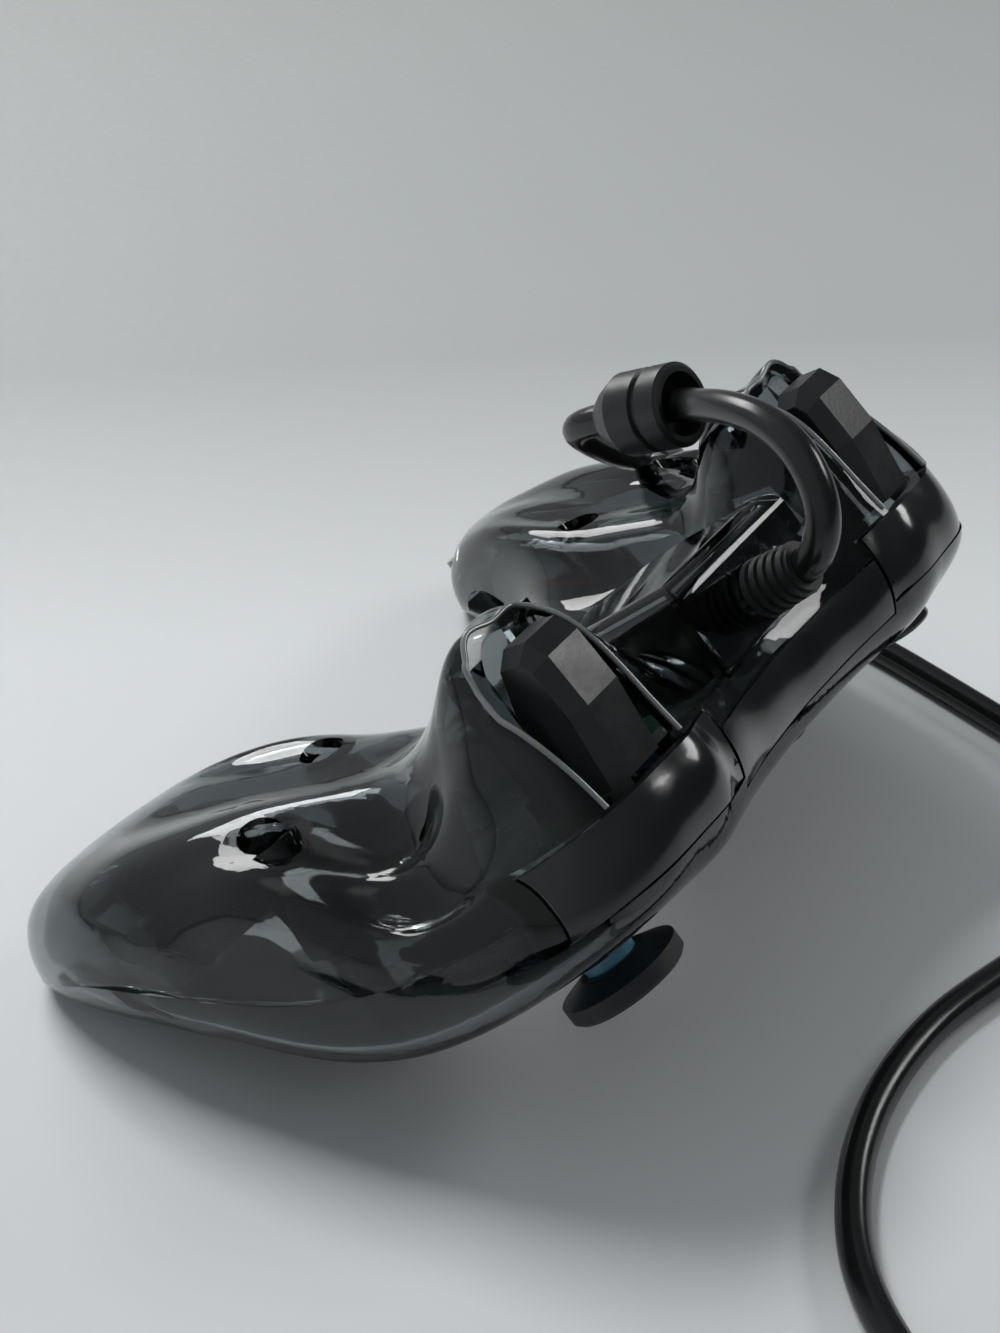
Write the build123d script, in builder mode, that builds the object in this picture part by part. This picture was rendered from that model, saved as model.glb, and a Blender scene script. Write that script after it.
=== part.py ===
from build123d import *
from math import cos, pi, radians, sin, sqrt
import os

# A wired gamepad with clear smoked shells, lying on its face.
# The pieces are modelled face up in the pad's own frame, in millimetres:
# X to the player's right, Y away from the player, Z out of the face.
# At the end every piece is turned over onto its face and set down on Z = 0.

# Outline of the pad, seen from the face: where it begins and ends at each half width
half_width = 78.0
rear_edge = [(0, -24), (12, -25.5), (21, -27), (28, -29), (36, -38.5), (42, -52), (48, -63),
             (54, -70), (60, -72.5), (66, -71.5), (71, -66), (75, -57), (77, -46), (78, -36)]
front_edge = [(0, 37), (12, 38), (24, 41), (34, 44), (46, 43), (54, 39), (60, 33), (65, 25),
              (69, 14), (72, 2), (75, -13), (77, -26), (78, -36)]

# Side profiles, as height against distance from the player
seam_line = [(-78, -36.5), (-60, -35.5), (-46, -33), (-30, -26.5), (-10, -16.5), (8, -11.5),
             (25, -10.5), (47, -12)]
face_line = [(-78, -34), (-66, -30.5), (-54, -24.5), (-40, -16.5), (-22, -6.5), (-4, 0), (10, 1),
             (34, 1.5), (47, -1.5)]
back_line = [(-78, -41), (-70, -44), (-56, -48), (-40, -47.5), (-22, -42), (-6, -36.5), (5, -34),
             (11, -34), (17, -37.5), (23, -43), (29, -45), (34, -42.5), (39, -31), (47, -18)]
middle_face_line = [(-78, -20), (-40, -8), (-24, -3.5), (-4, 0), (10, 1), (34, 1.5), (47, -1.5)]
middle_back_line = [(-78, -42), (-22, -31), (-5, -27), (12, -25), (47, -25)]

wall = 2.0
rear_round = 13.0
middle_rear_round = 9.0
front_round = 10.0
side_round = 16.0
grip_starts = 20.0
grip_full = 35.0
shoulder_starts = 44.0
shoulder_full = 66.0
shoulder_drop = 0.85
shoulder_back = -8.0
shoulder_front = 14.0

# Gaps and fits
gap = 0.3
fit_gap = 0.05
seam_lap = 0.5

# Sticks
stick_places = {"left": (-43.0, 14.0), "right": (21.0, -10.5)}
stick_pivot = -7.5
stick_hole = 10.8
ring_foot = 14.2
ring_top = 12.4
ring_height = 2.8
ring_wall = 1.0
bowl_depth = 8.8
cap_radius = 9.8
cap_top = 11.2
cap_rim = 3.0
stem_radius = 4.2
dome_radius = 13.0
dome_wall = 1.2
post_radius = 1.9
module_side = 15.4
module_wall = 1.2

# Board and rubber pads
board_top = -13.5
board_thick = 1.6
pad_thick = 0.8
stem_end = -8.4
press_travel = 1.5

# Buttons: centre, radius and top of each
button_places = {"button_a": (43.0, 4.0), "button_b": (53.0, 14.0),
                 "button_x": (33.0, 14.0), "button_y": (43.0, 24.0)}
button_stem = 3.2
button_radius = 5.2
button_top = 5.0
small_places = {"button_back": (-7.5, 21.5), "button_start": (7.5, 21.5)}
small_radius = 2.8
small_top = 3.4
guide_place = (0.0, 8.5)
guide_radius = 6.6
guide_top = 2.3
small_stem = 2.0
guide_stem = 4.0
flange_out = 1.0
flange_thick = 1.4
flange_top = -2.05

# Directional pad
dpad_place = (-21.0, -8.5)
dpad_radius = 10.1
dpad_hole = 10.8
dpad_arm = 6.4
dpad_top = 4.6
dpad_pivot = -4.15
dpad_ring = 12.6
dpad_ring_top = 1.4
dpad_ring_low = -7.5
dpad_plate_radius = 9.8
dpad_plate_thick = 2.6
dpad_pin = 0.8

# Bumpers and front panel
bumper_low = -15.6
bumper_high = -4.6
bumper_inner = 25.6
bumper_outer = 61.0
bumper_wall = 3.0
bumper_pin_place = (28.4, 37.0)
bumper_pin_radius = 0.9
bumper_lug_radius = 2.2
bumper_lug_height = 5.0
panel_half = 24.9
panel_high = -3.0
panel_low = -12.0

# Triggers
trigger_inner = 34.6
trigger_outer = 46.4
trigger_pivot = (31.0, -19.0)
trigger_pin_radius = 1.2
trigger_bevel = 2.2
trigger_profile = [(41, -16.8), (42.5, -28), (42, -36.3), (40, -39.4), (36, -40.0), (30.5, -27),
                   (28.2, -22), (28.2, -16.8)]
opening_inner = 33.2
opening_outer = 50.6
opening_rear = 32.8
opening_low = -15.0
spring_wire = 0.35
spring_radius = 2.1
spring_pitch = 1.2
spring_turns = 4
sensor_size = (6.0, 7.0, 4.0)

# Rumble motors: the place is the middle of the can
motor_place = (53.0, -42.0, -33.0)
motor_radius = 9.5
motor_length = 14.0
motor_nose = 3.0
motor_nose_length = 1.5
motor_shaft = 1.0
weight_thick = 4.5
weight_radii = {"left": 9.4, "right": 8.0}
weight_hub = 2.6
cradle_radius = 11.2
cradle_length = 6.0
wire_radius = 0.6

# Dark liners of the shoulders
liner_wall = 1.8
liner_inner = 43.0
liner_outer = 53.0
liner_clear = 1.0
liner_rear = -28.0
liner_front = 8.0

# Screws
screw_places = [(61.0, -9.5), (38.0, -16.0), (56.0, -61.0)]
well_radius = 3.6
well_wall = 1.2
well_floor = 2.0
well_above_seam = 4.0
screw_head = 2.9
screw_head_thick = 1.8
screw_shank = 1.25
screw_length = 9.0
screw_hole = 1.3
boss_radius = 3.0

# Back hump and cord gland
hump_half = 16.5
hump_centre = 24.0
hump_front = 40.5
hump_top = -31.5
hump_low = -16.2
hump_round = 3.5
cord_diameter = 5.2
gland_height = -21.5
gland_radius = 3.7
gland_rib = 4.6
gland_flange = 6.0
gland_end = 49.6
gland_ribs = 5
clamp_size = (18.0, 8.0)
clamp_rear = 24.0

# Attitude on the table: how far the face leans up from lying flat on the table
rest_tilt = 42.5

# Cord: over the pad its points are in the pad's frame, from the first drop on in the table's
cord_arch_points = [(0, 38, -21.5), (0, 52.5, -21.5), (1.5, 57.5, -27), (4.5, 57.5, -35),
                    (9.5, 51.8, -41.3), (15.5, 42.5, -45.4), (21.5, 33.3, -47.4), (26.8, 28.2, -47.8)]
bead_axis = (0.069, -0.946, -0.291)
bead_length = 16.0
bead_radius = 6.8
bead_recess = 5.2
bead_recess_depth = 4.2
bead_collar = 4.5
cord_over_points = [(35, 0.5, -50), (43, -2.5, -44.9), (51.5, -8, -42.9), (61, -14, -42.9),
                    (71, -19.5, -43.2), (80.5, -25, -38)]
cord_floor_points = [(85.5, 16, 21), (86.3, 7, 8.5), (85, -7, 2.65), (80.7, -26.1, 2.65),
                     (73.6, -45.5, 2.65), (65.8, -65.9, 2.65), (54.8, -80.5, 2.65), (38.8, -88, 2.65),
                     (21.8, -86.5, 2.65), (7.6, -81.1, 2.65), (-8.2, -76, 2.65), (-25.4, -75.1, 2.65),
                     (-41.2, -78.2, 2.65), (-55.2, -85, 2.65), (-64.7, -94.5, 2.65), (-71.5, -106.5, 2.65),
                     (-79.5, -117, 2.9), (-89.2, -123.54, 3.75)]
cord_tail_points = [(-133.7, -53.4, 9.55), (-128.4, -43.8, 6.5), (-128.7, -32.8, 4.3), (-133.8, -24.8, 4.3)]
plug_turn = 32.5

# Coil of spare cord
coil_centre = (-124.5, -96.0)
coil_radius = 41.5
coil_turn = -60.0
coil_lead = 7.8
coil_gap = 0.6
coil_turns = 5
coil_low = 3.75
tie_wall = 1.0
tie_gap = 0.15
tie_width = 6.0
plug_size = (15.5, 36.0, 8.0)
plug_shell_size = (12.0, 12.0, 4.5)
plug_wall = 0.35

os.makedirs("parts", exist_ok=True)
sides = {"left": -1, "right": 1}
pad_pieces = {}


def rail(points):
    """A smooth curve through the points that never overshoots them."""
    xs = [p[0] for p in points]
    ys = [p[1] for p in points]
    last = len(xs) - 1
    step = [xs[i + 1] - xs[i] for i in range(last)]
    rise = [(ys[i + 1] - ys[i]) / step[i] for i in range(last)]
    slope = [rise[0]]
    for before, after in zip(rise, rise[1:]):
        slope.append(0 if before * after <= 0 else 2 * before * after / (before + after))
    slope.append(rise[-1])

    def height(x):
        x = min(max(x, xs[0]), xs[-1])
        i = max(k for k in range(last) if xs[k] <= x)
        t = (x - xs[i]) / step[i]
        start = (1 + 2 * t) * (1 - t) ** 2 * ys[i] + t * (1 - t) ** 2 * step[i] * slope[i]
        return start + t * t * (3 - 2 * t) * ys[i + 1] + t * t * (t - 1) * step[i] * slope[i + 1]

    return height


rear_at = rail(rear_edge)
front_at = rail(front_edge)
seam_at = rail(seam_line)
face_at = rail(face_line)
middle_face_at = rail(middle_face_line)
back_at = rail(back_line)
middle_back_at = rail(middle_back_line)


def ease(start, end, x):
    t = min(max((x - start) / (end - start), 0), 1)
    return t * t * (3 - 2 * t)


def rounding(distance, radius):
    t = min(max(distance / radius, 0), 1)
    return sqrt(1 - (1 - t) ** 2)


def face_surface(x, y):
    """Height of the face before its edges are rounded off."""
    grip = ease(grip_starts, grip_full, abs(x))
    return middle_face_at(y) * (1 - grip) + face_at(y) * grip


def back_surface(x, y):
    """Height of the back before its edges are rounded off."""
    x = abs(x)
    grip = ease(grip_starts, grip_full, x)
    height = middle_back_at(y) * (1 - grip) + back_at(y) * grip
    shoulder = ease(shoulder_starts, shoulder_full, x) * ease(shoulder_back, shoulder_front, y)
    return seam_at(y) + (height - seam_at(y)) * (1 - shoulder_drop * shoulder)


def skin_height(x, y, inset, which):
    """Height of the face's or the back's skin over a point, shrunk by inset, with its edges rounded."""
    across = abs(x)
    spread = min(across * half_width / (half_width - inset), half_width)
    rear = rear_at(spread) + inset
    front = front_at(spread) - inset
    reach = (front - rear) / 2
    grip = ease(grip_starts, grip_full, across)
    rear_radius = min(middle_rear_round + (rear_round - middle_rear_round) * grip, reach)
    full = rounding(half_width - inset - across, side_round)
    full = full * rounding(y - rear, rear_radius) * rounding(front - y, min(front_round, reach))
    if y in (rear, front):
        full = 0.0
    height = face_surface(across, y) - inset if which == "front" else back_surface(across, y) + inset
    return seam_at(y) + (height - seam_at(y)) * full


def slice_points(x, inset, which, count=10):
    """One side of the pad's section at x, from the rear to the front, and the seam below it."""
    spread = min(abs(x) * half_width / (half_width - inset), half_width)
    rear = rear_at(spread) + inset
    front = front_at(spread) - inset
    places = [rear + (front - rear) * (0.5 - 0.5 * cos(pi * i / (count - 1))) for i in range(count - 1)]
    places = places + [front]
    return [(y, skin_height(x, y, inset, which)) for y in places], [(y, seam_at(y)) for y in places]


slice_places = {"front": (0, 8, 16, 24, 32, 40, 48, 56, 63, 69, 73.5, 76.4, 77.6),
                "back": (0, 8, 16, 24, 32, 40, 48, 56, 63, 69, 73, 75.5, 77)}


def half_pad(inset, which, lap=0.0):
    """The front or back half of the pad as a solid, shrunk by inset and run past the seam by lap."""
    shrink = (half_width - inset) / half_width
    past = -lap if which == "front" else lap
    places = [-x * shrink for x in slice_places[which][:0:-1]] + [x * shrink for x in slice_places[which]]
    with BuildPart() as half:
        for x in places:
            curve, seam = slice_points(x, inset, which)
            with BuildSketch(Plane.YZ.offset(x)):
                with BuildLine():
                    Spline(*curve)
                    if lap:
                        Line(curve[-1], (curve[-1][0], curve[-1][1] + past))
                    Spline(*[(y, z + past) for y, z in reversed(seam)])
                    if lap:
                        Line((curve[0][0], curve[0][1] + past), curve[0])
                make_face()
        loft()
    return half.part


def whole_pad(inset):
    """The whole pad as one solid with a single smooth skin, shrunk by inset."""
    shrink = (half_width - inset) / half_width
    places = slice_places["front"]
    places = [-x * shrink for x in places[:0:-1]] + [x * shrink for x in places]
    with BuildPart() as whole:
        for x in places:
            face_side, _ = slice_points(x, inset, "front")
            back_side, _ = slice_points(x, inset, "back")
            with BuildSketch(Plane.YZ.offset(x)):
                with BuildLine():
                    Spline(*(face_side + back_side[-2:0:-1]), periodic=True)
                make_face()
        loft()
    return whole.part


def keep(name, shape):
    shape.label = name
    pad_pieces[name] = shape
    print(name, round(shape.volume, 1), shape.is_valid)


front_outer = half_pad(0, "front")
back_outer = half_pad(0, "back")
front_space = half_pad(wall, "front", seam_lap)
back_space = half_pad(wall, "back", seam_lap)
back_room = half_pad(wall + gap, "back")
bumper_skin = whole_pad(0)
bumper_room = whole_pad(bumper_wall)



def across(places):
    """The same places on both sides of the pad."""
    return [(side * x, y) for x, y in places for side in (-1, 1)]


def shoulder_band(side, clearance):
    """The band of the pad's edge that a bumper fills, widened by a clearance."""
    with BuildPart() as band:
        with Locations((side * (bumper_inner + bumper_outer) / 2, 54, (bumper_low + bumper_high) / 2)):
            Box(bumper_outer - bumper_inner + 2 * clearance, 60, bumper_high - bumper_low + 2 * clearance)
    return band.part


down = (Align.CENTER, Align.CENTER, Align.MAX)
up = (Align.CENTER, Align.CENTER, Align.MIN)

# Front shell: face, stick bowls, pad ring, button holes and screw posts
with BuildPart() as face_rings:
    for x, y in stick_places.values():
        with Locations((x, y, ring_height - 4.6)):
            Cone(ring_foot, ring_top, 4.6, align=up)
            Cylinder(ring_foot, bowl_depth, align=down)

with BuildPart() as pad_ring:
    with Locations((*dpad_place, dpad_ring_top)):
        Cylinder(dpad_ring, dpad_ring_top - dpad_ring_low, align=down)
        Cylinder(dpad_hole, dpad_ring_top - dpad_ring_low, align=down, mode=Mode.SUBTRACT)

with BuildPart() as face_cuts:
    for x, y in stick_places.values():
        with Locations((x, y, ring_height - 6.0)):
            Cone(ring_foot - ring_wall, stick_hole, 4.6, align=up)
            Cylinder(ring_foot - ring_wall, bowl_depth - 3.2, align=down)
        with Locations((x, y, 0)):
            Cylinder(stick_hole, 12)
    for x, y in button_places.values():
        with Locations((x, y, 0)):
            Cylinder(button_radius + gap, 12)
    for x, y in small_places.values():
        with Locations((x, y, 0)):
            Cylinder(small_radius + gap, 12)
    with Locations((*guide_place, 0)):
        Cylinder(guide_radius + gap, 12)
    with Locations((*dpad_place, 0)):
        Cylinder(dpad_hole + 0.4, 20)
    with Locations((0, 60, panel_high + gap)):
        Box(2 * panel_half + 2 * gap, 60, 30, align=down)
    for side in (-1, 1):
        add(shoulder_band(side, gap))

with BuildPart() as face_posts:
    add(pad_ring)
    for x, y in across(screw_places):
        low = seam_at(y) - well_above_seam + well_floor + 0.1
        with Locations((x, y, low)):
            Cylinder(boss_radius, face_surface(x, y) - 1.9 - low, align=up)
    for x, y in across([bumper_pin_place]):
        with Locations((x, y, -2.4)):
            Cylinder(bumper_lug_radius, 4.2, align=down)

with BuildPart() as face_holes:
    with Locations((*dpad_place, dpad_pivot)):
        Cylinder(dpad_pin + fit_gap, 2 * dpad_ring - 1.0, rotation=(0, 90, 0))
    for x, y in across(screw_places):
        with Locations((x, y, seam_at(y) - well_above_seam)):
            Cylinder(screw_hole, screw_length + 0.5, align=up)
    for x, y in across([bumper_pin_place]):
        with Locations((x, y, -3.9)):
            Cylinder(bumper_pin_radius + fit_gap, 8, align=down)

with BuildPart() as front_shell:
    add(front_outer)
    add(face_rings)
    add(front_space, mode=Mode.SUBTRACT)
    add(face_cuts, mode=Mode.SUBTRACT)
    add(face_posts)
    add(face_holes, mode=Mode.SUBTRACT)
keep("front_shell", front_shell.part)

# Back shell: grips, trigger hoods, screw wells and the raised middle that the cord leaves by
with BuildPart() as hump:
    with BuildSketch(Plane.XY.offset(hump_top)):
        with Locations((0, hump_centre)):
            Circle(hump_half)
        with Locations((0, (hump_centre + hump_front) / 2)):
            Rectangle(2 * hump_half, hump_front - hump_centre)
    extrude(amount=hump_low - hump_top)
    fillet(hump.edges().group_by(Axis.Z)[0], hump_round)

with BuildPart() as hump_space:
    with BuildSketch(Plane.XY.offset(hump_top + wall)):
        with Locations((0, hump_centre)):
            Circle(hump_half - wall)
        with Locations((0, (hump_centre + hump_front - wall) / 2)):
            Rectangle(2 * (hump_half - wall), hump_front - wall - hump_centre)
    extrude(amount=hump_low - hump_top - wall + 1.0)
    fillet(hump_space.edges().group_by(Axis.Z)[0], hump_round - wall)

with BuildPart() as back_posts:
    for side in (-1, 1):
        for x in (trigger_inner - 1.4, trigger_outer + 1.4):
            height = back_surface(x, trigger_pivot[0]) + 1.0
            with Locations((side * x, trigger_pivot[0] - 0.6, height)):
                Box(2.2, 5.6, opening_low - 1.5 - height, align=up)
    for x, y in across(screw_places):
        floor = seam_at(y) - well_above_seam
        with Locations((x, y, floor + well_floor)):
            Cylinder(well_radius + well_wall, floor + well_floor - back_surface(x, y) - 1.9, align=down)

with BuildPart() as back_cuts:
    with Locations((0, hump_front, gland_height)):
        Cylinder(gland_radius + fit_gap, 20, rotation=(90, 0, 0))
    for side in (-1, 1):
        add(shoulder_band(side, gap))
        with Locations((side * (opening_inner + opening_outer) / 2, opening_rear + 20, opening_low)):
            Box(opening_outer - opening_inner, 40, 40, align=down)
        with Locations((side * (trigger_inner + trigger_outer) / 2, *trigger_pivot)):
            Cylinder(trigger_pin_radius + fit_gap, trigger_outer - trigger_inner + 4, rotation=(0, 90, 0))
    with Locations((0, 60, panel_low - gap)):
        Box(2 * panel_half + 2 * gap, 60, 30, align=up)
    for x, y in across(screw_places):
        with Locations((x, y, seam_at(y) - well_above_seam)):
            Cylinder(well_radius, 60, align=down)
            Cylinder(screw_hole + 0.2, 12)

with BuildPart() as back_shell:
    add(back_outer)
    add(back_space, mode=Mode.SUBTRACT)
    add(hump)
    add(back_posts)
    add(hump_space, mode=Mode.SUBTRACT)
    add(back_cuts, mode=Mode.SUBTRACT)
keep("back_shell", back_shell.part)

with BuildPart() as front_panel:
    with Locations((0, 60, panel_low)):
        Box(2 * panel_half, 60, panel_high - panel_low, align=(Align.CENTER, Align.CENTER, Align.MIN))
    add(bumper_skin, mode=Mode.INTERSECT)
    add(whole_pad(wall), mode=Mode.SUBTRACT)
keep("front_panel", front_panel.part)

# Bumpers turn about upright pins at their inner ends
for hand, side in sides.items():
    with BuildPart() as bumper:
        add(shoulder_band(side, 0))
        add(bumper_skin, mode=Mode.INTERSECT)
        add(bumper_room, mode=Mode.SUBTRACT)
        with Locations((side * bumper_pin_place[0], bumper_pin_place[1] + 2, -7.0)):
            Box(2 * bumper_lug_radius, 4, bumper_lug_height,
                align=(Align.CENTER, Align.CENTER, Align.MAX))
        with Locations((side * bumper_pin_place[0], bumper_pin_place[1], -7.0)):
            Cylinder(bumper_lug_radius, bumper_lug_height, align=(Align.CENTER, Align.CENTER, Align.MAX))
            Cylinder(bumper_lug_radius + gap, 8, align=up, mode=Mode.SUBTRACT)
            Cylinder(bumper_pin_radius + fit_gap, 30, mode=Mode.SUBTRACT)
    keep(hand + "_bumper", bumper.part)

with BuildPart() as bumper_pins:
    with Locations([(x, y, -4.0) for x, y in across([bumper_pin_place])]):
        Cylinder(bumper_pin_radius, 9.0, align=(Align.CENTER, Align.CENTER, Align.MAX))
keep("bumper_pins", bumper_pins.part)

# Triggers turn about steel pins held in the two plates of each hood
for hand, side in sides.items():
    middle = side * (trigger_inner + trigger_outer) / 2
    with BuildPart() as trigger:
        with BuildSketch(Plane.YZ.offset(middle)):
            with BuildLine():
                Polyline(*trigger_profile, close=True)
            make_face()
        extrude(amount=(trigger_outer - trigger_inner) / 2, both=True)
        front_edges = trigger.edges().filter_by(
            lambda edge: abs(abs(edge.center().X - middle) - (trigger_outer - trigger_inner) / 2) < 0.01
            and (edge.center().Y > 39 or edge.center().Z < -39.5))
        chamfer(front_edges, trigger_bevel)
        with Locations((middle, *trigger_pivot)):
            Cylinder(trigger_pin_radius + fit_gap, 30, rotation=(0, 90, 0), mode=Mode.SUBTRACT)
            Box(spring_pitch * (spring_turns + 1.6), 7.4, 7.6, mode=Mode.SUBTRACT)
    keep(hand + "_trigger", trigger.part)
    with BuildPart() as trigger_spring:
        with BuildLine() as coil:
            Helix(spring_pitch, spring_pitch * spring_turns, spring_radius,
                  center=(middle - spring_pitch * spring_turns / 2, *trigger_pivot), direction=(1, 0, 0))
        with BuildSketch(Plane(origin=coil.line @ 0, z_dir=coil.line % 0)):
            Circle(spring_wire)
        sweep(path=coil.line, is_frenet=True)
    keep(hand + "_trigger_spring", trigger_spring.part)

with BuildPart() as trigger_sensors:
    with Locations([(side * (trigger_inner + trigger_outer) / 2, 23.4, board_top - board_thick) for side in (-1, 1)]):
        Box(*sensor_size, align=down)
keep("trigger_sensors", trigger_sensors.part)

with BuildPart() as trigger_pins:
    for side in (-1, 1):
        with Locations((side * (trigger_inner + trigger_outer) / 2, *trigger_pivot)):
            Cylinder(trigger_pin_radius, trigger_outer - trigger_inner + 3.6, rotation=(0, 90, 0))
keep("trigger_pins", trigger_pins.part)

# Sticks: module box, yoke, post, dome with its stem, and cap
for hand, (x, y) in stick_places.items():
    with BuildPart() as module:
        with Locations((x, y, board_top)):
            Box(module_side, module_side, 9.0, align=(Align.CENTER, Align.CENTER, Align.MIN))
        with Locations((x, y, board_top + module_wall)):
            Box(module_side - 2 * module_wall, module_side - 2 * module_wall, 9.0,
                align=(Align.CENTER, Align.CENTER, Align.MIN), mode=Mode.SUBTRACT)
        with Locations((x, y, stick_pivot)):
            Cylinder(1.25, module_side, rotation=(0, 90, 0), mode=Mode.SUBTRACT)
    keep(hand + "_stick_module", module.part)
    with BuildPart() as yoke:
        with Locations((x, y, stick_pivot)):
            Box(11, 11, 3)
            Cylinder(1.2, module_side - 0.4, rotation=(0, 90, 0))
            Box(7, 7, 3, mode=Mode.SUBTRACT)
            Cylinder(1.05, 20, rotation=(90, 0, 0), mode=Mode.SUBTRACT)
    keep(hand + "_stick_yoke", yoke.part)
    with BuildPart() as post:
        with Locations((x, y, stick_pivot)):
            Sphere(2.9)
            Cylinder(1.0, 10.4, rotation=(90, 0, 0))
            Cylinder(post_radius, 15.5, align=(Align.CENTER, Align.CENTER, Align.MIN))
    keep(hand + "_stick_post", post.part)
    with BuildPart() as dome:
        with BuildSketch(Plane(origin=(x, y, stick_pivot), x_dir=(1, 0, 0), z_dir=(0, -1, 0))):
            Circle(dome_radius)
            with Locations((0, 8.0)):
                Rectangle(stem_radius, 9.1, align=(Align.MIN, Align.MIN))
            Circle(dome_radius - dome_wall, mode=Mode.SUBTRACT)
            with Locations((0, 10.0)):
                Rectangle(stem_radius, 7.1, align=(Align.MIN, Align.MIN))
            Rectangle(2 * dome_radius, 2 * dome_radius, align=(Align.MAX, Align.CENTER), mode=Mode.SUBTRACT)
            Rectangle(dome_radius, dome_radius + 6.0, align=(Align.MIN, Align.MAX), mode=Mode.SUBTRACT)
            with Locations((0, -dome_radius)):
                Rectangle(dome_radius, dome_radius + 6.0, align=(Align.MIN, Align.MIN), mode=Mode.SUBTRACT)
            Rectangle(post_radius + fit_gap, 16.3, align=(Align.MIN, Align.MIN), mode=Mode.SUBTRACT)
        revolve(axis=Axis((x, y, 0), (0, 0, 1)))
    keep(hand + "_stick_dome", dome.part)
    with BuildPart() as cap:
        with BuildSketch(Plane(origin=(x, y, 0), x_dir=(1, 0, 0), z_dir=(0, -1, 0))):
            with BuildLine():
                Polyline((stem_radius + fit_gap, 6.5), (5.4, 6.5), (cap_radius, cap_top - cap_rim),
                         (cap_radius, cap_top - 0.6), (cap_radius - 0.6, cap_top), (cap_radius - 2.2, cap_top),
                         (cap_radius - 3.4, cap_top - 0.8), (0, cap_top - 0.5), (0, 9.65),
                         (stem_radius + fit_gap, 9.65), close=True)
            make_face()
        revolve(axis=Axis((x, y, 0), (0, 0, 1)))
    keep(hand + "_stick_cap", cap.part)

# Buttons that slide straight in
round_buttons = {name: (place, button_radius, button_top, button_stem) for name, place in button_places.items()}
round_buttons |= {name: (place, small_radius, small_top, small_stem) for name, place in small_places.items()}
round_buttons["button_guide"] = (guide_place, guide_radius, guide_top, guide_stem)
for name, (place, radius, top, stem) in round_buttons.items():
    with BuildPart() as button:
        with Locations((*place, flange_top - flange_thick)):
            Cylinder(radius, top - flange_top + flange_thick, align=(Align.CENTER, Align.CENTER, Align.MIN))
        fillet(button.edges().group_by(Axis.Z)[-1], 0.8)
        with Locations((*place, flange_top)):
            Cylinder(radius + flange_out, flange_thick, align=(Align.CENTER, Align.CENTER, Align.MAX))
        with Locations((*place, stem_end)):
            Cylinder(stem, 4, align=(Align.CENTER, Align.CENTER, Align.MIN))
        with Locations((*place, (flange_top - flange_thick + stem_end) / 2)):
            Cylinder(stem, flange_top - flange_thick - stem_end + 0.5)
    keep(name, button.part)

# Directional pad: a cross that tips sideways on a plate that tips fore and aft
x, y = dpad_place
with BuildPart() as dpad:
    with Locations((x, y, -1.0)):
        Cylinder(dpad_radius, 1.5, align=(Align.CENTER, Align.CENTER, Align.MIN))
    with Locations((x, y, 0)):
        Box(2 * dpad_radius - 1.6, dpad_arm, dpad_top, align=(Align.CENTER, Align.CENTER, Align.MIN))
        Box(dpad_arm, 2 * dpad_radius - 1.6, dpad_top, align=(Align.CENTER, Align.CENTER, Align.MIN))
    with Locations((x, y, dpad_top + 9.2)):
        Sphere(11.0, mode=Mode.SUBTRACT)
    with Locations((x, y, 0)):
        Cylinder(2.4, -dpad_pivot + 1.3, align=(Align.CENTER, Align.CENTER, Align.MAX))
    with Locations((x, y, dpad_pivot)):
        Cylinder(dpad_pin, 10.0, rotation=(90, 0, 0))
keep("dpad", dpad.part)

with BuildPart() as dpad_plate:
    with Locations((x, y, dpad_pivot)):
        Cylinder(dpad_plate_radius, dpad_plate_thick)
        Box(7.0, 7.0, 10, mode=Mode.SUBTRACT)
        Cylinder(dpad_pin + fit_gap, 10.6, rotation=(90, 0, 0), mode=Mode.SUBTRACT)
        for side in (-1, 1):
            with Locations((side * dpad_plate_radius, 0, 0)):
                Cylinder(dpad_pin, 4.2, rotation=(0, 90, 0))
    with Locations((x, y, dpad_pivot - dpad_plate_thick / 2)):
        with PolarLocations(7.2, 4):
            Cylinder(1.2, 3.5, align=(Align.CENTER, Align.CENTER, Align.MAX))
keep("dpad_plate", dpad_plate.part)

# Rubber pads with a dome under every button
pads = {"abxy_pad": (list(button_places.values()), 5.6), "centre_pad": ([*small_places.values(), guide_place], 4.4),
        "dpad_pad": ([(x + a, y + b) for a, b in ((7.2, 0), (-7.2, 0), (0, 7.2), (0, -7.2))], 3.4)}
for name, (places, radius) in pads.items():
    cx = sum(p[0] for p in places) / len(places)
    cy = sum(p[1] for p in places) / len(places)
    with BuildPart() as pad:
        for px, py in places:
            with Locations((px, py, board_top)):
                Cylinder(radius, pad_thick, align=(Align.CENTER, Align.CENTER, Align.MIN))
                Cone(radius - 1.0, radius - 2.0, 3.3, align=(Align.CENTER, Align.CENTER, Align.MIN))
        with Locations((cx, cy, board_top)):
            Cylinder(6.0, pad_thick, align=(Align.CENTER, Align.CENTER, Align.MIN))
    keep(name, pad.part)

# Circuit board and what it carries
with BuildPart() as main_board:
    with BuildSketch(Plane.XY.offset(board_top - board_thick)):
        with Locations((0, 12.5)):
            Rectangle(112, 29)
        with Locations((0, -9)):
            Rectangle(62, 22)
        with Locations(across([(38.0, -16.0)])):
            Circle(boss_radius + 2, mode=Mode.SUBTRACT)
    extrude(amount=board_thick)
keep("main_board", main_board.part)

with BuildPart() as main_chip:
    with Locations((0, 0.5, board_top - board_thick)):
        Box(12, 12, 1.2, align=(Align.CENTER, Align.CENTER, Align.MAX))
keep("main_chip", main_chip.part)

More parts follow.
